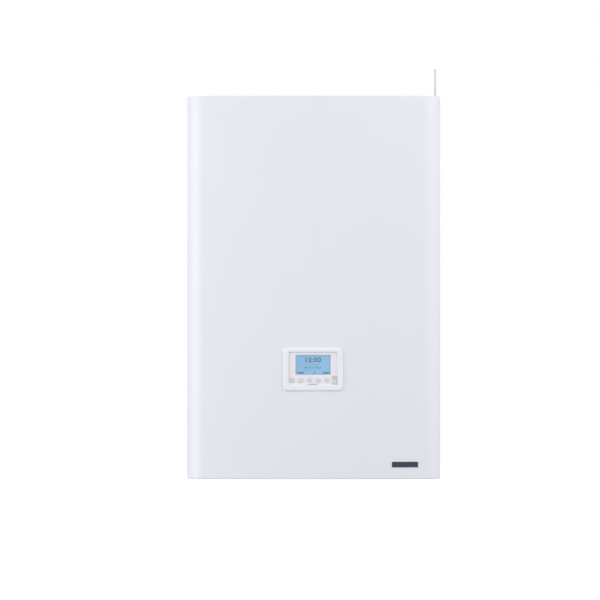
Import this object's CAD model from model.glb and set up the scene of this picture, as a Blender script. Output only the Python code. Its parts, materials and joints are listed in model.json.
# %% [markdown]
# # A wall-hung combi boiler
# The boiler hangs on a wall and stands out towards us along -Y. Its whole construction comes in as a
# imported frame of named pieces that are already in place. This lesson gives every piece its finish and adds
# what is too fine for the construction: the figures on the display, the key marks, screws, seals, caps,
# clips and welds. Threads, plate edges and board tracks are drawn by their finishes. Loading the frame
# comes first, because the new pieces are fitted to the ones in it.

# %% Load the frame
import json
import math

import bmesh
import bpy
from mathutils import Matrix, Vector


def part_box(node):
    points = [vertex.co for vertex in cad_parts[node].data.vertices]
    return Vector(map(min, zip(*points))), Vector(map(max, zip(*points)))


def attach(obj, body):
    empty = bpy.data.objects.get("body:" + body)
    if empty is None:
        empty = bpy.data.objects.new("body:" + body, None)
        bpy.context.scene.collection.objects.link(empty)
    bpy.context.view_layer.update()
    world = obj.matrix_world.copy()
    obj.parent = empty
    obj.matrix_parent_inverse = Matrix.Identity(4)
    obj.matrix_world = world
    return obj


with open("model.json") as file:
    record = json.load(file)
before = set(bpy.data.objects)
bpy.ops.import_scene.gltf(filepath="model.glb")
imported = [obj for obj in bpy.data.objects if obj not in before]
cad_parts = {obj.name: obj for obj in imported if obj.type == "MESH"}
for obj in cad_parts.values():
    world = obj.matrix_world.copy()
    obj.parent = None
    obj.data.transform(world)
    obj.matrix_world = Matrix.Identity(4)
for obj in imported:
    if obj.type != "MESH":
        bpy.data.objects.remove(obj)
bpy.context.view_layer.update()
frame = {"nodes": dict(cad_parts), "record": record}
nodes = frame["nodes"]

# %% [markdown]
# ## Measures that the pieces share
# The scene is in metres, and the real boiler's sizes are written in millimetres times MM. Reading a box is
# better than typing a number twice, because the piece then follows the construction.

# %% Shared measures
MM = 0.001
CASING_FRONT = 430 * MM  # from the wall to the middle of the bowed cover


def corners(node):
    """The low corner, high corner and centre of a node's box."""
    low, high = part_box(node)
    return low, high, (low + high) / 2


print("the casing stands out", CASING_FRONT, "m from the wall")

# %% [markdown]
# ## Camera
# The photograph is taken from straight ahead with a long lens: the box's sides don't show, so the camera
# looks along +Y from twelve metres. Its height is near the middle of the casing, and its angle is found
# from how much of the frame the casing's known width fills.

# %% Camera
CAMERA_DISTANCE = 12.0  # from the front of the casing
FRAME_WIDTH = 1.228  # metres across the picture at the casing's front
FRAME_X, FRAME_Z = -0.028, -0.3434  # the point of the boiler that is in the middle of the frame
camera_data = bpy.data.cameras.new("camera")
camera = bpy.data.objects.new("camera", camera_data)
bpy.context.scene.collection.objects.link(camera)
camera.location = (FRAME_X, -(CASING_FRONT + CAMERA_DISTANCE), FRAME_Z)
camera.rotation_euler = (math.radians(90), 0, 0)
camera_data.sensor_width = 36.0
camera_data.lens = camera_data.sensor_width * CAMERA_DISTANCE / FRAME_WIDTH
bpy.context.scene.camera = camera
print("lens", round(camera_data.lens, 1), "mm")

# %% [markdown]
# ## World, lamps and floor
# A product picture has a white surround and soft light. The world is white where the camera, a mirror
# or glass looks at it, and a softer grey as light, so that the white doesn't flood the object. The casing's
# bright left edge shows that the strongest lamp stands far to the left. A second, above on the right,
# lights the front's upper half more than its lower half, a weak third keeps the right edge pale, and a
# fourth lights the back. Each is a square of 2.6 metres, because a large lamp gives the slow change of tone
# seen there. The floor glows white to the camera for the most part, and the rest of it is a plain diffuse
# surface that still holds a shadow. From below it is clear, so that the underside can be looked at.

# %% World
WHITE = (1, 1, 1, 1)
AMBIENT_COLOUR = (0.96, 0.98, 1.0, 1)
AMBIENT = 0.45  # the world's strength as light


def added(tree, kind, **sockets):
    """Adds a node to a tree and sets the sockets that are named."""
    made = tree.nodes.new(kind)
    for socket, value in sockets.items():
        made.inputs[socket].default_value = value
    return made


def linked(tree, pairs):
    """Links each output to the input beside it."""
    for output, entry in pairs:
        tree.links.new(output, entry)


world = bpy.data.worlds.new("studio")
bpy.context.scene.world = world
world.use_nodes = True
sky = world.node_tree
sky.nodes.clear()
seen = added(sky, "ShaderNodeBackground", Color=WHITE, Strength=1.0)
ambient = added(sky, "ShaderNodeBackground", Color=AMBIENT_COLOUR, Strength=AMBIENT)
rays = added(sky, "ShaderNodeLightPath")
camera_or_mirror = added(sky, "ShaderNodeMath")
camera_or_mirror.operation = "MAXIMUM"
any_view = added(sky, "ShaderNodeMath")
any_view.operation = "MAXIMUM"
seen_or_ambient = added(sky, "ShaderNodeMixShader")
sky_output = added(sky, "ShaderNodeOutputWorld")
linked(
    sky,
    (
        (rays.outputs["Is Camera Ray"], camera_or_mirror.inputs[0]),
        (rays.outputs["Is Glossy Ray"], camera_or_mirror.inputs[1]),
        (camera_or_mirror.outputs[0], any_view.inputs[0]),
        (rays.outputs["Is Transmission Ray"], any_view.inputs[1]),
        (any_view.outputs[0], seen_or_ambient.inputs["Fac"]),
        (ambient.outputs[0], seen_or_ambient.inputs[1]),
        (seen.outputs[0], seen_or_ambient.inputs[2]),
        (seen_or_ambient.outputs[0], sky_output.inputs["Surface"]),
    ),
)
bpy.context.scene.view_settings.view_transform = "Standard"
print("the world is white to look at and", AMBIENT, "as light")

# %% Lamps
LAMP_SIZE = 2.6  # metres a side
LAMP_TARGET = (0.0, -0.2, -0.32)  # near the middle of the casing
LAMPS = (  # name, place, watts
    ("key_lamp", (-2.60, -1.70, 0.2), 59.5),
    ("fill_lamp", (2.12, -2.32, 1.2), 50.0),
    ("rim_lamp", (2.90, -0.98, 0.2), 19.5),
    ("back_lamp", (-0.6, 2.6, 1.6), 36.0),
)


def soft_lamp(name, place, power):
    """A large square lamp that looks at the casing."""
    data = bpy.data.lights.new(name, "AREA")
    data.shape = "SQUARE"
    data.size = LAMP_SIZE
    data.energy = power
    lamp = bpy.data.objects.new(name, data)
    bpy.context.scene.collection.objects.link(lamp)
    lamp.location = place
    lamp.rotation_euler = (Vector(LAMP_TARGET) - Vector(place)).to_track_quat("-Z", "Y").to_euler()


for name, place, power in LAMPS:
    soft_lamp(name, place, power)
print(len(LAMPS), "lamps")

# %% Floor
FLOOR_Z = -1.45
FLOOR_HALF = 30  # metres from its middle to its edge
FLOOR_TONE = (0.55, 0.55, 0.56, 1)
GLOW = 1.12  # over white, to make up for the darker diffuse share
GLOW_SHARE = 0.90  # of what the camera sees
bm = bmesh.new()
flat = Matrix.Translation((0, 0, FLOOR_Z))
bmesh.ops.create_grid(bm, x_segments=1, y_segments=1, size=FLOOR_HALF, matrix=flat)
floor_mesh = bpy.data.meshes.new("floor")
bm.to_mesh(floor_mesh)
bm.free()
floor = bpy.data.objects.new("floor", floor_mesh)
bpy.context.scene.collection.objects.link(floor)
floor_paint = bpy.data.materials.new("floor_paint")
floor_paint.use_nodes = True
tree = floor_paint.node_tree
tree.nodes.clear()
plain = added(tree, "ShaderNodeBsdfDiffuse", Color=FLOOR_TONE)
glow = added(tree, "ShaderNodeEmission", Color=WHITE, Strength=GLOW)
rays = added(tree, "ShaderNodeLightPath")
share = added(tree, "ShaderNodeMath")
share.operation = "MULTIPLY"
share.inputs[1].default_value = GLOW_SHARE
from_above = added(tree, "ShaderNodeMixShader")
from_below = added(tree, "ShaderNodeBsdfTransparent")
geometry = added(tree, "ShaderNodeNewGeometry")
one_sided = added(tree, "ShaderNodeMixShader")
floor_output = added(tree, "ShaderNodeOutputMaterial")
linked(
    tree,
    (
        (rays.outputs["Is Camera Ray"], share.inputs[0]),
        (share.outputs[0], from_above.inputs["Fac"]),
        (plain.outputs[0], from_above.inputs[1]),
        (glow.outputs[0], from_above.inputs[2]),
        (geometry.outputs["Backfacing"], one_sided.inputs["Fac"]),
        (from_above.outputs[0], one_sided.inputs[1]),
        (from_below.outputs[0], one_sided.inputs[2]),
        (one_sided.outputs[0], floor_output.inputs["Surface"]),
    ),
)
floor_mesh.materials.append(floor_paint)
print("floor at", FLOOR_Z)

# %% [markdown]
# ## Writing shader maths as Python
# A finish is a few nodes wired together, and wiring them by hand hides the idea. `Value` holds one
# output socket and lets Python's signs add the Math nodes, so that `0.4 + 0.1 * grain` is the recipe
# itself. `Finish` holds one material with its Principled shader, adds any other node, and feeds sockets.


# %% Value and Finish
class Value:
    """A number that varies over a surface."""

    def __init__(self, finish, socket):
        self.finish = finish
        self.socket = socket

    def math(self, operation, first, second):
        return self.finish.math(operation, first, second)

    def __add__(self, other):
        return self.math("ADD", self, other)

    def __radd__(self, other):
        return self.math("ADD", other, self)

    def __sub__(self, other):
        return self.math("SUBTRACT", self, other)

    def __rsub__(self, other):
        return self.math("SUBTRACT", other, self)

    def __mul__(self, other):
        return self.math("MULTIPLY", self, other)

    def __rmul__(self, other):
        return self.math("MULTIPLY", other, self)

    def __gt__(self, other):
        return self.math("GREATER_THAN", self, other)


class Finish:
    """One material: a Principled shader and the nodes that feed it."""

    def __init__(self, name, colour, roughness, metallic=0.0, **fixed):
        self.material = bpy.data.materials.new(name)
        self.material.use_nodes = True
        self.material.diffuse_color = (*colour, 1)
        self.tree = self.material.node_tree
        self.shader = self.tree.nodes["Principled BSDF"]
        self.colour = colour
        plain = {"Base_Color": (*colour, 1), "Roughness": roughness, "Metallic": metallic, **fixed}
        for socket, value in plain.items():
            self.shader.inputs[socket.replace("_", " ")].default_value = value
        self.place = self.node("ShaderNodeTexCoord", {}, {}, "Object")

    def node(self, kind, settings, sockets, output=0):
        """Adds a node: its settings first, then a value or a link for each named socket."""
        made = self.tree.nodes.new(kind)
        for setting, value in settings.items():
            setattr(made, setting, value)
        for socket, value in sockets.items():
            if isinstance(value, Value):
                self.tree.links.new(value.socket, made.inputs[socket])
            else:
                made.inputs[socket].default_value = value
        return Value(self, made.outputs[output])

    def math(self, operation, first, second=0.0):
        """One Math node."""
        return self.node("ShaderNodeMath", {"operation": operation}, {0: first, 1: second})

    def feed(self, socket, value):
        """Links a value that varies to one of the shader's sockets."""
        self.tree.links.new(value.socket, self.shader.inputs[socket])

    def axis(self, letter):
        """One of the object's own coordinates: X, Y or Z."""
        return self.node("ShaderNodeSeparateXYZ", {}, {"Vector": self.place}, letter)

    def stretched(self, x, y, z):
        """The object's own coordinates, stretched: a small factor draws a pattern out along that axis."""
        return self.node("ShaderNodeMapping", {}, {"Vector": self.place, "Scale": (x, y, z)})

    def noise(self, scale, detail, roughness=0.5, place=None):
        """Soft noise from 0 to 1, with about this many bumps to a metre."""
        sockets = {"Vector": place or self.place, "Scale": scale, "Detail": detail, "Roughness": roughness}
        return self.node("ShaderNodeTexNoise", {}, sockets, "Fac")

    def cells(self, scale, output="Distance", place=None):
        """Cells like frost: "Distance" grows from each centre, and "Color" differs from cell to cell."""
        sockets = {"Vector": place or self.place, "Scale": scale}
        return self.node("ShaderNodeTexVoronoi", {}, sockets, output)

    def spread(self, value, low, high, to_low=0.0, to_high=1.0):
        """Maps low..high to to_low..to_high and holds the ends."""
        sockets = {"Value": value, "From Min": low, "From Max": high, "To Min": to_low, "To Max": to_high}
        return self.node("ShaderNodeMapRange", {"clamp": True}, sockets)

    def tint(self, factor, first, second):
        """Mixes two colours by a factor."""
        sockets = {"Factor": factor, 6: (*first, 1), 7: (*second, 1)}
        return self.node("ShaderNodeMix", {"data_type": "RGBA"}, sockets, 2)

    def paint(self, value, first, second):
        """Feeds the base colour, from the first colour to the second as the value rises."""
        self.feed("Base Color", self.tint(value, first, second))

    def shade(self, value, depth):
        """Feeds the base colour, darker by up to depth where the value is low."""
        self.paint(value, tuple(c * (1 - depth) for c in self.colour), self.colour)

    def roughen(self, value, least, most, low=0.3, high=0.7):
        """Feeds the roughness, from least to most as the value goes from low to high."""
        self.feed("Roughness", self.spread(value, low, high, least, most))

    def emboss(self, value, height, strength):
        """Feeds the normal from a value that stands up to this many millimetres high."""
        sockets = {"Height": value, "Distance": height * MM, "Strength": strength}
        self.feed("Normal", self.node("ShaderNodeBump", {}, sockets))


print("shader helpers ready")

# %% [markdown]
# ## Painted and bare sheet
# The casing is powder-coated steel: nearly flat white with a touch of blue, a soft sheen and a very
# shallow orange peel that only shows where a light glances off it. The inner sheets are galvanised, with
# pale and dark crystals of zinc, so their colour comes from cells, and their sheen changes with them.


# %% Sheet finishes
def enamel():
    """White powder coat with a shallow orange peel."""
    finish = Finish("casing_enamel", (0.790, 0.812, 0.858), 0.42, Coat_Weight=0.08, Coat_Roughness=0.3)
    peel = finish.noise(420, 1.5)
    cloud = finish.noise(3.0, 2.0)
    finish.shade(finish.spread(cloud, 0.3, 0.7), 0.012)
    finish.roughen(peel, 0.38, 0.48)
    finish.emboss(peel, 0.06, 0.55)
    return finish


def galvanised():
    """Zinc crystals on sheet steel, with faint rolling lines."""
    finish = Finish("galvanised_sheet", (0.62, 0.635, 0.65), 0.42, 0.85)
    frost = finish.cells(210, "Color", finish.stretched(1.0, 1.0, 0.6))
    crystal = finish.node("ShaderNodeSeparateColor", {}, {"Color": frost})
    rolling = finish.noise(40, 2.0, 0.5, finish.stretched(1.0, 1.0, 14.0))
    tone = 0.7 * crystal + 0.3 * rolling
    finish.paint(tone, (0.505, 0.518, 0.535), (0.60, 0.613, 0.628))
    finish.roughen(crystal, 0.40, 0.54, 0.0, 1.0)
    finish.emboss(tone, 0.04, 0.5)
    return finish


def powder_black():
    """Black powder coat with a fine grit."""
    finish = Finish("black_powder_coat", (0.045, 0.045, 0.05), 0.5)
    grit = finish.noise(1400, 2.0)
    finish.shade(grit, 0.3)
    finish.roughen(grit, 0.42, 0.60)
    finish.emboss(grit, 0.08, 0.6)
    return finish


def vessel_paint():
    """Red gloss paint on a pressed steel vessel, a little uneven, with dust on it."""
    finish = Finish("vessel_paint", (0.52, 0.035, 0.028), 0.28, Coat_Weight=0.4, Coat_Roughness=0.15)
    peel = finish.noise(260, 2.0)
    dust = finish.noise(14, 5.0, 0.65)
    finish.paint(finish.spread(dust, 0.45, 0.8, 0, 0.35), finish.colour, (0.50, 0.17, 0.14))
    finish.roughen(dust, 0.24, 0.5, 0.4, 0.8)
    finish.emboss(peel, 0.12, 0.5)
    return finish


print("sheet finishes: white enamel, zinc, black powder coat, red paint")

# %% [markdown]
# ## Metals
# Copper, brass, stainless and cast alloy differ in more than colour. Drawn tube has long faint streaks and
# a bloom of oxide, machined brass has tool lines, rolled stainless is brushed one way, and castings are
# grainy. Each is one noise, stretched along the way that the metal was worked, that drives both the
# colour and the sheen, because wear changes the two together.

# %% Metal finishes
BRASS, BRASS_DARK = (0.80, 0.60, 0.30), (0.58, 0.40, 0.18)
BRASS_SHEEN = (0.24, 0.40)
TOOL_LINES, TOOL_SCALE = (0.5, 0.5, 4.0), 200  # level lines, close together


def streaks(finish, dark, sheen, stretch, scale):
    """Feeds colour and sheen from streaks with a slow bloom over them, and returns the streaks."""
    streak = finish.noise(scale, 3.0, 0.6, finish.stretched(*stretch))
    bloom = finish.noise(11, 4.0, 0.6)
    finish.paint(finish.spread(0.55 * streak + 0.45 * bloom, 0.35, 0.65), dark, finish.colour)
    finish.roughen(streak, *sheen)
    return streak


def streaked(name, colour, dark, sheen, stretch, scale=120.0):
    """Metal worked along one way."""
    finish = Finish(name, colour, sheen[0], 1.0)
    finish.emboss(streaks(finish, dark, sheen, stretch, scale), 0.03, 0.6)
    return finish


def cast(name, colour, grain_depth=0.3, metallic=0.9, sheen=(0.42, 0.62)):
    """A casting: coarse and fine grain together, darker in its pits."""
    finish = Finish(name, colour, sheen[0], metallic)
    coarse = finish.noise(320, 3.0, 0.6)
    fine = finish.noise(900, 2.0)
    grain = 0.6 * coarse + 0.4 * fine
    finish.shade(finish.spread(grain, 0.3, 0.65), 0.2)
    finish.roughen(grain, *sheen)
    finish.emboss(grain, grain_depth, 0.7)
    return finish


def heat_tinted():
    """Perforated burner steel, straw to blue where the flame has been."""
    finish = Finish("heat_tinted_steel", (0.42, 0.38, 0.34), 0.38, 1.0)
    bloom = finish.noise(22, 3.0, 0.6)
    finish.paint(finish.spread(bloom, 0.35, 0.65), (0.22, 0.23, 0.33), (0.50, 0.40, 0.27))
    holes = finish.cells(330)
    finish.emboss(finish.spread(holes, 0.1, 0.3), 0.6, 0.8)
    return finish


print("metal finishes: worked one way, cast, heat-tinted")

# %% [markdown]
# ## Threads and stacked plates
# Two metals carry a pattern that belongs to their shape. The five tails below the boiler end in pipe
# threads, and the plate exchanger is a pack of thin plates brazed with copper. Cutting the threads as
# geometry would cost many thousand faces. A thread is a wave that climbs by one pitch a turn, so its
# height can be worked out at any point from z and from the angle round the tail: the tails stand 65 mm
# apart, and wrapping x at 65 mm gives each its own centre. The bores stay smooth: nearer the centre than
# a tail's wall there is no thread, and every second tail is of the smaller size.

# %% Thread and plate finishes
TAIL_Y, TAIL_PITCH = -130 * MM, 65 * MM  # the row of tails, one of them at x = 0
LARGE_BORE, SMALL_BORE = 11.7 * MM, 8.9 * MM  # within the walls of the two sizes of tail
THREAD_PITCH = 1.814 * MM  # fourteen threads to the inch
THREAD_TOP = -684 * MM
PLATE_PITCH = 6.5 / 3 * MM


def threaded_brass():
    """Machined brass with pipe threads on the ends of the tails."""
    finish = Finish("threaded_brass", BRASS, 0.3, 1.0)
    x, y, z = (finish.axis(letter) for letter in "XYZ")
    wrapped = {0: x, 1: TAIL_PITCH / 2, 2: -TAIL_PITCH / 2}
    across = finish.node("ShaderNodeMath", {"operation": "WRAP"}, wrapped)
    along = y - TAIL_Y
    turn = finish.math("ARCTAN2", along, across)
    wave = 0.5 + 0.5 * finish.math("SINE", z * (math.tau / THREAD_PITCH) + turn)
    radius = finish.math("SQRT", across * across + along * along)
    smaller = finish.math("PINGPONG", x * (1 / TAIL_PITCH), 1.0)
    outside = radius > LARGE_BORE - (LARGE_BORE - SMALL_BORE) * smaller
    threads = finish.math("LESS_THAN", z, THREAD_TOP) * outside * wave
    lines = streaks(finish, BRASS_DARK, BRASS_SHEEN, TOOL_LINES, TOOL_SCALE)
    finish.emboss(threads + 0.02 * lines, 0.9, 0.9)
    return finish


def plate_pack():
    """Thin stainless plates with a copper line between each two."""
    finish = Finish("plate_pack", (0.62, 0.62, 0.625), 0.3, 1.0)
    wave = 0.5 + 0.5 * finish.math("SINE", finish.axis("Y") * (math.tau / PLATE_PITCH))
    braze = finish.spread(wave, 0.25, 0.0)
    finish.paint(braze, finish.colour, (0.62, 0.33, 0.20))
    finish.roughen(finish.noise(90, 3.0), 0.22, 0.36)
    finish.emboss(wave, 0.7, 0.8)
    return finish


print("threads at a pitch of", round(THREAD_PITCH / MM, 3), "mm, plates at", round(PLATE_PITCH / MM, 3), "mm")

# %% [markdown]
# ## Plastics, rubber and foam
# Moulded plastic is one colour with a fine spark-eroded grain from its mould, and what tells a glossy
# bezel from a dull box is how deep that grain is. Rubber is darker and duller with a bloom, and
# closed-cell foam shows its cells. One function makes the plastics, and its depth and sheen set them apart.


# %% Plastic and rubber finishes
def moulded(name, colour, sheen=(0.38, 0.48), grain=900.0, depth=0.03, mottle=0.03, **fixed):
    """Moulded plastic with the fine grain of its mould."""
    finish = Finish(name, colour, sheen[0], **fixed)
    spark = finish.noise(grain, 2.0)
    flow = finish.noise(18, 2.0)
    finish.shade(finish.spread(0.5 * spark + 0.5 * flow, 0.35, 0.6), mottle)
    finish.roughen(spark, *sheen)
    finish.emboss(spark, depth, 0.6)
    return finish


def foam():
    """Closed-cell foam strip, with its skin broken by small cells."""
    finish = Finish("foam_strip", (0.055, 0.055, 0.06), 0.85)
    pores = finish.cells(800)
    finish.shade(finish.spread(pores, 0.1, 0.6), 0.5)
    finish.roughen(pores, 0.75, 0.95, 0.0, 0.7)
    finish.emboss(1 - pores, 0.4, 0.8)
    return finish


def circuit_board():
    """Green solder mask over copper tracks."""
    finish = Finish("circuit_board", (0.02, 0.16, 0.07), 0.38, Coat_Weight=0.3, Coat_Roughness=0.2)
    quarter_turn = {"Vector": finish.place, "Rotation": (math.radians(90), 0, 0)}
    board_plane = finish.node("ShaderNodeMapping", {}, quarter_turn)
    sockets = {"Vector": board_plane, "Scale": 60.0, "Mortar Size": 0.09, "Mortar Smooth": 0.1}
    tracks = finish.node("ShaderNodeTexBrick", {"offset": 0.5}, sockets, "Fac")
    speckle = finish.noise(500, 2.0)
    finish.paint(0.75 * tracks + 0.25 * speckle, (0.012, 0.11, 0.045), (0.05, 0.28, 0.12))
    finish.emboss(tracks, 0.05, 0.7)
    return finish


def clear_window():
    """Clear pane over the display: nearly see-through, with its own gloss."""
    finish = Finish("clear_pane", (0.82, 0.92, 0.97), 0.06, Alpha=0.10, IOR=1.49)
    smear = finish.noise(30, 3.0)
    finish.roughen(smear, 0.04, 0.09, 0.4, 0.7)
    finish.material.surface_render_method = "BLENDED"
    return finish


def lit_display():
    """Backlit glass: pale blue and faintly cloudy."""
    finish = Finish("lit_display", (0.10, 0.24, 0.37), 0.3, Emission_Strength=0.5)
    cloud = finish.spread(finish.noise(26, 2.0), 0.3, 0.7)
    finish.paint(cloud, (0.085, 0.225, 0.35), (0.10, 0.25, 0.38))
    finish.feed("Emission Color", finish.tint(cloud, (0.138, 0.39, 0.64), (0.168, 0.435, 0.69)))
    return finish


print("plastic finishes: moulded, foam, circuit board, clear pane, lit display")

# %% [markdown]
# ## One finish for every slot of the record
# The record names the material slot of each piece, so a table from slot to finish dresses the whole
# frame in one loop. Two pieces have a finish of their own, for their threads and plates. A node's material
# is changed in its slot, and its mesh isn't touched.

# %% Dress the frame
FINISHES = {
    "white_enamel": enamel(),
    "zinc_sheet": galvanised(),
    "black_steel": powder_black(),
    "foam_rubber": foam(),
    "rubber": moulded("black_rubber", (0.028, 0.028, 0.031), (0.55, 0.75), 600, 0.06, 0.25),
    "clip_plastic": moulded("nylon", (0.74, 0.73, 0.69), (0.35, 0.5)),
    "navy_plate": moulded("dark_plate", (0.036, 0.044, 0.075), (0.22, 0.3), 1200, 0.01, 0.05),
    "bezel_plastic": moulded("bezel_plastic", (0.838, 0.853, 0.895), (0.30, 0.38), 1300, 0.012, 0.015),
    "fascia_plastic": moulded("fascia_plastic", (0.845, 0.822, 0.855), (0.45, 0.55), 1500, 0.02, 0.02),
    "key_plastic": moulded("key_plastic", (0.80, 0.785, 0.81), (0.42, 0.5), 1500, 0.02, 0.02),
    "rocker_plastic": moulded("rocker_plastic", (0.72, 0.72, 0.74), (0.42, 0.5), 1500, 0.02, 0.04),
    "screen_window": clear_window(),
    "lcd_blue": lit_display(),
    "board_green": circuit_board(),
    "box_plastic": moulded("box_plastic", (0.055, 0.058, 0.065), (0.45, 0.6), 700, 0.06, 0.2),
    "aerial_plastic": moulded("aerial_plastic", (0.66, 0.67, 0.69), (0.4, 0.5)),
    "flue_metal": streaked("flue_metal", (0.78, 0.79, 0.80), (0.66, 0.67, 0.69), (0.30, 0.42), (1, 1, 0.1)),
    "stainless": streaked(
        "rolled_stainless", (0.66, 0.66, 0.665), (0.50, 0.50, 0.51), (0.24, 0.40), (0.06, 1, 1)
    ),
    "cast_alloy": cast("cast_alloy", (0.60, 0.61, 0.62)),
    "burner_steel": heat_tinted(),
    "ceramic_white": moulded("glazed_ceramic", (0.82, 0.80, 0.75), (0.12, 0.2), 300, 0.03, 0.04),
    "grey_plastic": moulded("grey_plastic", (0.19, 0.20, 0.215), (0.42, 0.55), 700, 0.05, 0.1),
    "copper": streaked(
        "drawn_copper", (0.84, 0.45, 0.30), (0.62, 0.29, 0.18), (0.22, 0.36), (0.7, 1, 0.35), 55
    ),
    "brass": streaked("machined_brass", BRASS, BRASS_DARK, BRASS_SHEEN, TOOL_LINES, TOOL_SCALE),
    "vessel_red": vessel_paint(),
    "pump_black": cast("pump_iron", (0.06, 0.062, 0.068), 0.4, 0.3, (0.45, 0.65)),
    "hose_grey": moulded("hose_grey", (0.33, 0.34, 0.36), (0.45, 0.6), 500, 0.04, 0.1),
    "red_plastic": moulded("red_plastic", (0.58, 0.030, 0.025), (0.35, 0.5), 700, 0.04, 0.1),
    "blue_plastic": moulded("blue_plastic", (0.025, 0.10, 0.45), (0.35, 0.5), 700, 0.04, 0.1),
    "yellow_plastic": moulded("yellow_plastic", (0.80, 0.52, 0.02), (0.35, 0.5), 700, 0.04, 0.1),
    "black_plastic": moulded("black_plastic", (0.02, 0.02, 0.023), (0.4, 0.55), 700, 0.05, 0.2),
}
OWN_FINISHES = {"service_valves": threaded_brass(), "plate_exchanger": plate_pack()}
for part in frame["record"]["subparts"]:
    mesh = nodes[part["node"]].data
    finish = OWN_FINISHES.get(part["node"], FINISHES[part["material_slot"]])
    for slot_number in range(len(mesh.materials)):
        mesh.materials[slot_number] = finish.material
print(len(FINISHES) + len(OWN_FINISHES), "finishes on", len(nodes), "nodes")

# %% [markdown]
# ## How a new piece is made and placed
# Most new pieces start as a flat outline, so one matrix turns a drawing that lies flat to stand in the
# wall's plane and face us. Every piece also ends the same way: doubles merged, faces turned outwards,
# finish and slot given, and then it is tied to the body that it moves with. Two functions hold that, and
# a few more draw the plates, frames, discs and rings that come up again and again. Each piece's own cell
# is then only about its shape.

# %% Piece helpers
OUTWARD = Matrix.Rotation(math.radians(90), 4, "X")
MERGE_WITHIN = 0.001 * MM


def facing_us(x, out, z):
    """Takes a flat drawing to x, this far out from the wall, and z."""
    return Matrix.Translation((x, -out, z)) @ OUTWARD


def finished(bm, name, body, slot, finish=None, sharp=40):
    """Makes a piece of a bmesh: clean, smooth up to a sharp angle, with its finish, on its body."""
    bmesh.ops.remove_doubles(bm, verts=bm.verts[:], dist=MERGE_WITHIN)
    bmesh.ops.recalc_face_normals(bm, faces=bm.faces[:])
    mesh = bpy.data.meshes.new(name)
    bm.to_mesh(mesh)
    bm.free()
    mesh.shade_smooth()
    mesh.set_sharp_from_angle(angle=math.radians(sharp))
    mesh.materials.append((finish or FINISHES[slot]).material)
    piece = bpy.data.objects.new(name, mesh)
    bpy.context.scene.collection.objects.link(piece)
    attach(piece, body)
    return piece


def rounded_plate(bm, width, height, corner, place, segments):
    """One flat face with rounded corners."""
    before = set(bm.faces)
    size = Matrix.Diagonal((width, height, 1, 1))
    made = bmesh.ops.create_grid(bm, x_segments=1, y_segments=1, size=0.5, matrix=place @ size)
    bmesh.ops.bevel(
        bm, geom=made["verts"], affect="VERTICES", offset=corner, segments=segments, profile=0.5, material=-1
    )
    bm.normal_update()
    return [face for face in bm.faces if face not in before]


def rounded_frame(bm, width, height, corner, border, place, segments):
    """A flat frame with rounded corners, open inside its border."""
    opening = rounded_plate(bm, width, height, corner, place, segments)
    bmesh.ops.inset_region(bm, faces=opening, thickness=border, use_boundary=True)
    bmesh.ops.delete(bm, geom=opening, context="FACES_ONLY")


def flat_disc(bm, radius, sides, place):
    """One flat face with this many equal sides."""
    made = bmesh.ops.create_circle(bm, cap_ends=True, segments=sides, radius=radius, matrix=place)
    bm.normal_update()
    return made["verts"][0].link_faces[0]


def ring(bm, outer, inner, place, sides):
    """A flat ring with this many sides."""
    disc = flat_disc(bm, outer, sides, place)
    band = bmesh.ops.inset_region(bm, faces=[disc], thickness=outer - inner, use_boundary=True)["faces"]
    bmesh.ops.delete(bm, geom=[disc], context="FACES_ONLY")
    return band


def raised(bm, faces, shift):
    """Extrudes faces along a vector and returns their ends."""
    made = bmesh.ops.extrude_face_region(bm, geom=faces)["geom"]
    bmesh.ops.translate(bm, verts=[v for v in made if isinstance(v, bmesh.types.BMVert)], vec=shift)
    return [face for face in made if isinstance(face, bmesh.types.BMFace)]


print("piece helpers ready")

# %% [markdown]
# ## Gasket round the control panel
# The panel pokes through a hole in the casing, and a pale strip of rubber closes the millimetre between
# them. It could be a bevelled curve, but the casing is bowed and the strip has to follow it. So it starts
# as a flat frame with the panel's outline, is cut across at a few places, and each of its corners then
# goes back by as much as the casing does there.

# %% Panel gasket
bezel_low, bezel_high, bezel_mid = corners("display_bezel")
BOW_RADIUS = 2000 * MM  # of the cover's front
GASKET = 1.05 * MM  # a little wider than the gap, so that it presses on the casing's edge
GASKET_OUT = CASING_FRONT - 0.05 * MM
GASKET_CORNER, GASKET_DEPTH = 8.9 * MM, 9 * MM
CUT_STEP = 10 * MM
bm = bmesh.new()
rounded_frame(
    bm,
    bezel_high.x - bezel_low.x + 2 * GASKET,
    bezel_high.z - bezel_low.z + 2 * GASKET,
    GASKET_CORNER,
    GASKET,
    facing_us(bezel_mid.x, GASKET_OUT, bezel_mid.z),
    8,
)
for step in range(-5, 6):
    cut = (bezel_mid.x + step * CUT_STEP, 0, 0)
    bmesh.ops.bisect_plane(bm, geom=bm.verts[:] + bm.edges[:] + bm.faces[:], plane_co=cut, plane_no=(1, 0, 0))
for vert in bm.verts:
    vert.co.y += vert.co.x**2 / (2 * BOW_RADIUS)
raised(bm, bm.faces[:], (0, GASKET_DEPTH, 0))
gasket_rubber = moulded("pale_rubber", (0.92, 0.93, 0.96), (0.5, 0.65), 900, 0.03, 0.04)
gasket = finished(bm, "panel_gasket", "chassis", "rubber", gasket_rubber)
print("panel gasket with", len(gasket.data.polygons), "faces")

# %% [markdown]
# ## What the display shows
# Dark figures stand on the lit glass: a clock in bold, the days of the week as numbers, two temperatures
# with a dot before them, and along the foot a label at each side with an arrow between. Text is made by a
# text curve, which is turned into a mesh and then stretched to the box that the photograph gives it.

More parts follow.
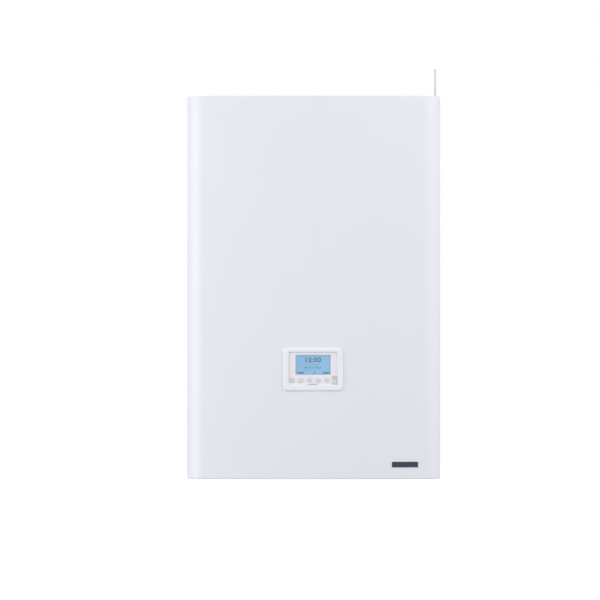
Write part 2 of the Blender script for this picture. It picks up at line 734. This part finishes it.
# %% Display figures
_, _, glass_mid = corners("lcd_window")
GLASS_OUT = 426.72 * MM  # the bottom of the display's shallow frame
INK = 0.03 * MM  # how far a printed mark stands up
display_ink = moulded("display_ink", (0.018, 0.085, 0.135), (0.4, 0.5), 700, 0.01, 0.2)
faint_ink = moulded("faint_display_ink", (0.055, 0.19, 0.29), (0.4, 0.5), 700, 0.01, 0.15)


def on_glass(x, z):
    """A flat place on the display: x millimetres right of its middle, at a height of z millimetres."""
    return facing_us(glass_mid.x + x * MM, GLASS_OUT, z * MM)


def figures(name, text, width, height, place, ink, weight):
    """A line of text as a thin mesh, stretched to this width and height in millimetres."""
    curve = bpy.data.curves.new(name, "FONT")
    curve.body = text
    curve.resolution_u = 3
    curve.offset = weight
    drawn = bpy.data.objects.new(name, curve)
    bpy.context.scene.collection.objects.link(drawn)
    mesh = bpy.data.meshes.new_from_object(drawn)
    bpy.data.objects.remove(drawn)
    bm = bmesh.new()
    bm.from_mesh(mesh)
    low = Vector((min(v.co.x for v in bm.verts), min(v.co.y for v in bm.verts), 0))
    high = Vector((max(v.co.x for v in bm.verts), max(v.co.y for v in bm.verts), 0))
    stretch = Matrix.Diagonal((width * MM / (high.x - low.x), height * MM / (high.y - low.y), 1, 1))
    bm.transform(place @ stretch @ Matrix.Translation(-(low + high) / 2))
    raised(bm, bm.faces[:], (0, -INK, 0))
    finished(bm, name, "chassis", "lcd_blue", ink)


figures("display_clock", "12:30", 32.0, 9.6, on_glass(0.3, -465.8), display_ink, 0.035)
figures("display_days", "1 2 3 4 5 6 7", 28.0, 3.1, on_glass(0.0, -475.0), faint_ink, 0.012)
figures("display_degrees", "21.5  60.0", 26.0, 3.8, on_glass(3.0, -481.6), faint_ink, 0.025)

# %% Display labels
DOT_RADIUS, ARROW_RADIUS = 1.9 * MM, 2.7 * MM
LABEL_TALL, LABEL_CORNER = 3.0 * MM, 0.8 * MM
LABELS = ((-25.6, 13.5), (26.6, 13.0))  # middle and width of each, in millimetres
bm = bmesh.new()
flat_disc(bm, DOT_RADIUS, 20, on_glass(-14.6, -481.6))
for middle, width in LABELS:
    rounded_plate(bm, width * MM, LABEL_TALL, LABEL_CORNER, on_glass(middle, -492.6), 3)
flat_disc(bm, ARROW_RADIUS, 3, on_glass(2.6, -492.3))
raised(bm, bm.faces[:], (0, -INK, 0))
labels = finished(bm, "display_labels", "chassis", "lcd_blue", display_ink)
print("display figures and", len(labels.data.polygons), "label faces")

# %% [markdown]
# ## Marks on the keys
# Each key carries a plain printed mark in soft grey. A circle with many, four or three sides and an inset
# makes a ring, a square or an arrow, and rounded plates make the bars. All are raised by a few hundredths
# of a millimetre, as ink is. Each mark rides on its own key, so it goes in with the key.

# %% Key marks
BAR_CORNER = 0.3 * MM
grey_ink = moulded("grey_print", (0.46, 0.455, 0.47), (0.45, 0.55), 900, 0.01, 0.08)
green_ink = moulded("green_grey_print", (0.37, 0.46, 0.42), (0.45, 0.55), 900, 0.01, 0.08)
blue_ink = moulded("blue_grey_print", (0.43, 0.47, 0.55), (0.45, 0.55), 900, 0.01, 0.08)
brown_ink = moulded("brown_grey_print", (0.46, 0.44, 0.42), (0.45, 0.55), 900, 0.01, 0.08)
KEY_INKS = {"key_1": green_ink, "key_2": grey_ink, "key_3": grey_ink, "key_4": grey_ink, "key_5": blue_ink}
KEY_RINGS = {  # outer and inner radius in millimetres, sides, turn in degrees
    "key_1": (3.4, 2.3, 28, 0),  # standby: a ring, with a stroke from the next table
    "key_2": (3.7, 2.5, 4, 45),  # a square outline
    "key_3": (4.0, 2.4, 3, 90),  # an arrow to the left
    "key_4": (4.0, 2.4, 3, -90),  # an arrow to the right
}
KEY_BARS = {  # width, height and the heights of the bars' middles in millimetres, lift off the face
    "key_1": (1.0, 3.6, (1.6,), INK / 2),
    "key_5": (6.0, 0.9, (-2.0, 0.0, 2.0), 0.0),  # three bars
}


def on_key(node, turn=0.0, z=0.0, lift=0.0):
    """A flat place on the middle of a key's face, turned by some degrees."""
    low, _, mid = corners(node)
    return facing_us(mid.x, -low.y + lift, mid.z + z) @ Matrix.Rotation(math.radians(turn), 4, "Z")


for node, ink in KEY_INKS.items():
    bm = bmesh.new()
    if node in KEY_RINGS:
        outer, inner, sides, turn = KEY_RINGS[node]
        ring(bm, outer * MM, inner * MM, on_key(node, turn), sides)
    if node in KEY_BARS:
        width, height, rows, lift = KEY_BARS[node]
        for row in rows:
            rounded_plate(bm, width * MM, height * MM, BAR_CORNER, on_key(node, z=row * MM, lift=lift), 2)
    raised(bm, bm.faces[:], (0, -INK, 0))
    finished(bm, node + "_mark", node, "key_plastic", ink)
print(len(KEY_INKS), "key marks")

# %% [markdown]
# ## Signs on the rocker
# The rocker's face is dished, so its plus and minus lie on its two slopes. Each is drawn flat and raised,
# and then one matrix tips it by the slope and takes it to its end of the rocker. They could be a texture,
# but a raised shape stays sharp from close by. It rides on the rocker, so it tips with it.

# %% Rocker signs
_, _, rocker_mid = corners("rocker_key")
DISH_OUT = 430.6 * MM  # the rocker's face at its middle
SLOPE = math.atan2(1.4, 7.5)  # the face rises 1.4 mm over the 7.5 mm to its end
SIGN_UP = 3.7 * MM  # from the rocker's middle to a sign
SIGN_WIDE, STROKE = 4.4 * MM, 1.3 * MM
STUB_TALL, STUB_UP = 1.5 * MM, 1.45 * MM  # what the plus has above and below its bar
for name, side, ink in (("rocker_plus", 1, brown_ink), ("rocker_minus", -1, blue_ink)):
    bm = bmesh.new()
    rounded_plate(bm, SIGN_WIDE, STROKE, BAR_CORNER, Matrix.Identity(4), 2)
    if name == "rocker_plus":
        for end in (-1, 1):
            rounded_plate(bm, STROKE, STUB_TALL, BAR_CORNER, Matrix.Translation((0, end * STUB_UP, 0)), 2)
    raised(bm, bm.faces[:], (0, 0, INK))
    place = facing_us(rocker_mid.x, DISH_OUT + SIGN_UP * math.tan(SLOPE), rocker_mid.z + side * SIGN_UP)
    bm.transform(place @ Matrix.Rotation(side * SLOPE, 4, "X"))
    finished(bm, name, "rocker_key", "rocker_plastic", ink)
print("rocker signs on a slope of", round(math.degrees(SLOPE), 1), "degrees")

# %% [markdown]
# ## Behind the fascia's openings
# Through the slit round the rocker one would see the green board, so a real panel has a pale shield behind
# it. It is a rounded frame that closes the slit and stays clear of the rocker when that tips, with a second
# one as a lip in the hole, which leaves the rocker room to swing above and below. The finger notch
# below the keys is lined with a soft grey pad, which is a disc cut off by a straight line.

# %% Shield and notch pad
SHIELD_TALL, SHIELD_THICK = 17.2 * MM, 0.6 * MM
SHIELD_FRAMES = (  # width, corner, border and distance from the wall, in millimetres
    (10.0, 1.5, 1.2, 425.1),  # the shield
    (9.2, 0.8, 0.55, 428.95),  # the lip
)
bm = bmesh.new()
for width, corner, border, out in SHIELD_FRAMES:
    place = facing_us(rocker_mid.x, out * MM, rocker_mid.z)
    rounded_frame(bm, width * MM, SHIELD_TALL, corner * MM, border * MM, place, 3)
raised(bm, bm.faces[:], (0, SHIELD_THICK, 0))
finished(bm, "rocker_shield", "chassis", "fascia_plastic")

fascia_low, _, fascia_mid = corners("display_fascia")
NOTCH_WIDE, NOTCH_TALL, NOTCH_LIFT = 21.0 * MM, 2.8 * MM, 0.75 * MM
PAD_OUT, PAD_THICK = 429.02 * MM, 0.15 * MM
notch_radius = (NOTCH_WIDE**2 / 4 + NOTCH_TALL**2) / (2 * NOTCH_TALL)
notch_foot = fascia_low.z + NOTCH_LIFT
bm = bmesh.new()
flat_disc(bm, notch_radius, 160, facing_us(fascia_mid.x, PAD_OUT, notch_foot + NOTCH_TALL - notch_radius))
whole = bm.verts[:] + bm.edges[:] + bm.faces[:]
bmesh.ops.bisect_plane(bm, geom=whole, plane_co=(0, 0, notch_foot), plane_no=(0, 0, -1), clear_outer=True)
raised(bm, bm.faces[:], (0, -PAD_THICK, 0))
pad_grey = moulded("notch_pad", (0.60, 0.585, 0.625), (0.55, 0.65))
pad = finished(bm, "notch_pad", "chassis", "fascia_plastic", pad_grey)
print("shield and notch pad with", len(pad.data.polygons), "faces")

# %% [markdown]
# ## Screws in the casing
# The side panels are held by flanged hexagon screws: two into the sunk top, two into the bottom plate and
# four into the back panel on each side. A cone with six sides makes the head and one with many sides its
# flange, and the head's top is inset and pushed down as a pressed one is. All of them are one mesh.

# %% Casing screws
_, side_high, _ = corners("right_side_panel")
RIGHT = Matrix.Rotation(math.radians(90), 4, "Y")
LEFT = Matrix.Rotation(math.radians(-90), 4, "Y")
BACK = Matrix.Rotation(math.radians(-90), 4, "X")
FLANGE, SINK = 0.8 * MM, 0.4 * MM
SIDE_OUTS = (70 * MM, 300 * MM)  # from the wall
SIDE_HEIGHTS = (60 * MM, -625 * MM)  # of the sunk top and the bottom plate
SIDE_RISE = 1.3 * MM  # low heads, which keep the boiler within its width
BACK_X, BACK_OUT = 244 * MM, 12 * MM
BACK_HEIGHTS = (-660 * MM, -420 * MM, -180 * MM, 55 * MM)


def screw_head(bm, place, radius=4.0 * MM, rise=2.2 * MM):
    """A flanged hexagon head that stands on the drawing's plane."""
    bmesh.ops.create_cone(
        bm,
        cap_ends=True,
        segments=20,
        radius1=radius * 1.45,
        radius2=radius * 1.3,
        depth=FLANGE,
        matrix=place @ Matrix.Translation((0, 0, FLANGE / 2)),
    )
    made = bmesh.ops.create_cone(
        bm,
        cap_ends=True,
        segments=6,
        radius1=radius,
        radius2=radius * 0.95,
        depth=rise,
        matrix=place @ Matrix.Translation((0, 0, FLANGE + rise / 2)),
    )
    axis = place.to_3x3() @ Vector((0, 0, 1))
    bm.normal_update()
    head_faces = {face for vert in made["verts"] for face in vert.link_faces}
    top = max(head_faces, key=lambda face: face.calc_center_median().dot(axis))
    bmesh.ops.inset_region(bm, faces=[top], thickness=radius * 0.25, use_even_offset=True)
    bmesh.ops.translate(bm, verts=top.verts[:], vec=axis * -SINK)


bm = bmesh.new()
for turn, side in ((RIGHT, side_high.x), (LEFT, -side_high.x)):
    for out in SIDE_OUTS:
        for z in SIDE_HEIGHTS:
            screw_head(bm, Matrix.Translation((side, -out, z)) @ turn, rise=SIDE_RISE)
for x in (-BACK_X, BACK_X):
    for z in BACK_HEIGHTS:
        screw_head(bm, Matrix.Translation((x, -BACK_OUT, z)) @ BACK)
zinc_screw = streaked("zinc_plated", (0.66, 0.67, 0.67), (0.50, 0.51, 0.52), (0.28, 0.42), (1, 1, 1), 260)
screws = finished(bm, "casing_screws", "chassis", "zinc_sheet", zinc_screw, 30)
print("casing screws with", len(screws.data.polygons), "faces")

# %% [markdown]
# ## Flue seals and test caps
# The collar on top takes the flue's two tubes. A soft lip of rubber inside the inner socket grips the
# inner tube, a bead of sealant closes the collar's flange against the sheet, and the two test ports wear
# push-on caps. The lip and bead are small outlines spun once round, and the caps are ribbed by drawing
# every other point of a disc's rim inwards.

# %% Flue seals
_, collar_high, _ = corners("flue_collar")
FLUE_AXIS = Vector((0, -160 * MM, 0))
LIP_TOP = collar_high.z - 7 * MM
SHEET_TOP = 46.2 * MM
# The outlines are points of radius and height in millimetres.
LIP_RIBS = ((28.6, -4.4), (29.4, -3.6), (28.6, -2.0), (29.4, -1.2))
LIP = ((30.0, 0), (30.0, -6.0), (29.4, -6.0), *LIP_RIBS, (29.4, 0))
BEAD = ((64.9, 0), (64.9, 1.3), (65.8, 1.5), (66.9, 0.9), (67.3, 0))


def spun(bm, outline, centre, steps):
    """Spins a closed outline of (radius, height) points once round a vertical axis."""
    verts = [bm.verts.new((centre.x + radius, centre.y, height)) for radius, height in outline]
    edges = [bm.edges.new((verts[i - 1], verts[i])) for i in range(len(verts))]
    bmesh.ops.spin(
        bm,
        geom=verts + edges,
        cent=(centre.x, centre.y, 0),
        axis=(0, 0, 1),
        angle=math.tau,
        steps=steps,
        use_merge=True,
    )


SEALS = (("flue_lip_seal", LIP, LIP_TOP, 48), ("collar_sealant", BEAD, SHEET_TOP, 72))
for name, outline, foot, steps in SEALS:
    bm = bmesh.new()
    spun(bm, [(radius * MM, foot + height * MM) for radius, height in outline], FLUE_AXIS, steps)
    finished(bm, name, "chassis", "rubber")
print("lip seal and sealant")

# %% Test caps
CAP_X, CAP_Y, CAP_FOOT = 18 * MM, -214 * MM, 56.2 * MM
CAP_RADIUS, CAP_TALL = 6.0 * MM, 4.2 * MM
RIB = 0.08  # how far a rib's hollow goes in, as a part of the radius
RIM, BUTTON = 1.1 * MM, 0.7 * MM
bm = bmesh.new()
for x in (-CAP_X, CAP_X):
    place = Matrix.Translation((x, CAP_Y, CAP_FOOT))
    made = bmesh.ops.create_circle(bm, cap_ends=True, segments=36, radius=CAP_RADIUS, matrix=place)
    disc = made["verts"][0].link_faces[0]
    for vert in made["verts"][::2]:
        vert.co.x += RIB * (x - vert.co.x)
        vert.co.y += RIB * (CAP_Y - vert.co.y)
    top = raised(bm, [disc], (0, 0, CAP_TALL))
    bm.normal_update()
    bmesh.ops.inset_region(bm, faces=top, thickness=RIM, use_even_offset=True)
    raised(bm, top, (0, 0, BUTTON))
caps = finished(bm, "test_caps", "chassis", "black_plastic")
print("test caps with", len(caps.data.polygons), "faces")

# %% [markdown]
# ## Fittings behind the cover
# With the cover pulled, more small things show. The control box is closed with screws, worm-drive clips
# hold the condensate hose, and the burner door has a dark sight glass in a ring. The back flanges of the
# side panels carry a row of spot welds each. Each is a few spun or raised outlines, placed by its
# neighbour's box where that fixes it.

# %% Screws of the control box
box_low, box_high, _ = corners("control_box")
LID_SCREW_X, LID_SCREW_IN = 148 * MM, 12 * MM  # from the middle, and in from the box's top and foot
LID_OUT = 402 * MM
bm = bmesh.new()
for x in (-LID_SCREW_X, LID_SCREW_X):
    for z in (box_low.z + LID_SCREW_IN, box_high.z - LID_SCREW_IN):
        screw_head(bm, facing_us(x, LID_OUT, z), 2.6 * MM)
lid_screws = finished(bm, "control_box_screws", "chassis", "zinc_sheet", zinc_screw, 30)
print("control box screws with", len(lid_screws.data.polygons), "faces")

# %% Hose clips
hose_low, hose_high, hose_mid = corners("condensate_hose")
HOSE_TOP_X, HOSE_FOOT_X = 0.0, -60 * MM  # where its two upright ends stand
CLIP_IN = 14 * MM  # from the hose's end
CLIP_WIDE, CLIP_RADIUS = 9 * MM, 12.0 * MM
BAND_HALF, BAND_CROWN = 0.4 * MM, 0.7 * MM  # outside the clip's radius, at the edge and in the middle
HOUSING_LONG, HOUSING_TALL, HOUSING_DEEP = 12 * MM, 8 * MM, 4.5 * MM
WORM_RADIUS, WORM_OUT = 1.9 * MM, 2.4 * MM
bm = bmesh.new()
for x, z in ((HOSE_TOP_X, hose_high.z - CLIP_IN), (HOSE_FOOT_X, hose_low.z + CLIP_IN)):
    inner, outer = CLIP_RADIUS - BAND_HALF, CLIP_RADIUS + BAND_HALF
    foot, head = z - CLIP_WIDE / 2, z + CLIP_WIDE / 2
    band = ((inner, foot), (outer, foot), (CLIP_RADIUS + BAND_CROWN, z), (outer, head), (inner, head))
    spun(bm, band, Vector((x, hose_mid.y, 0)), 40)
    place = facing_us(x, -hose_mid.y + CLIP_RADIUS, z)
    raised(bm, rounded_plate(bm, HOUSING_LONG, HOUSING_TALL, 2 * MM, place, 3), (0, -HOUSING_DEEP, 0))
    worm = Matrix.Translation((x + HOUSING_LONG / 2, hose_mid.y - CLIP_RADIUS - WORM_OUT, z))
    screw_head(bm, worm @ RIGHT, WORM_RADIUS)
clips = finished(bm, "hose_clips", "chassis", "stainless", sharp=30)
print("hose clips with", len(clips.data.polygons), "faces")

# %% Sight glass
SIGHT = (62 * MM, 315 * MM, -180 * MM)  # x, distance from the wall, z
SIGHT_OUTER, SIGHT_INNER, SIGHT_THICK = 8.4 * MM, 5.6 * MM, 1.2 * MM
PANE_RADIUS, PANE_BULGE = 5.8 * MM, 0.16  # a ball, flattened to this part of its radius
bm = bmesh.new()
raised(bm, ring(bm, SIGHT_OUTER, SIGHT_INNER, facing_us(*SIGHT), 40), (0, -SIGHT_THICK, 0))
finished(bm, "sight_ring", "chassis", "stainless", sharp=30)
bm = bmesh.new()
bmesh.ops.create_uvsphere(bm, u_segments=32, v_segments=12, radius=PANE_RADIUS)
bm.transform(facing_us(*SIGHT) @ Matrix.Diagonal((1, 1, PANE_BULGE, 1)))
sight_pane = moulded("sight_pane", (0.05, 0.028, 0.012), (0.05, 0.12), 60, 0.01, 0.3, Coat_Weight=0.5)
finished(bm, "sight_glass", "chassis", "stainless", sight_pane)
print("sight glass in its ring")

# %% Spot welds
WELD_X, WELD_FOOT, WELD_STEP, WELD_ROWS = 236 * MM, -690 * MM, 52 * MM, 15
WELD_RADIUS = 3.2 * MM
WELD_INSETS = ((0.7 * MM, 0.25 * MM), (0.9 * MM, -0.2 * MM))  # up to a raised edge, down to a sunk middle
bm = bmesh.new()
for x in (-WELD_X, WELD_X):
    for row in range(WELD_ROWS):
        place = Matrix.Translation((x, -BACK_OUT, WELD_FOOT + row * WELD_STEP)) @ BACK
        disc = flat_disc(bm, WELD_RADIUS, 20, place)
        for thickness, depth in WELD_INSETS:
            bmesh.ops.inset_region(bm, faces=[disc], thickness=thickness, depth=depth, use_boundary=True)
finished(bm, "spot_welds", "chassis", "white_enamel")
print(2 * WELD_ROWS, "spot welds")
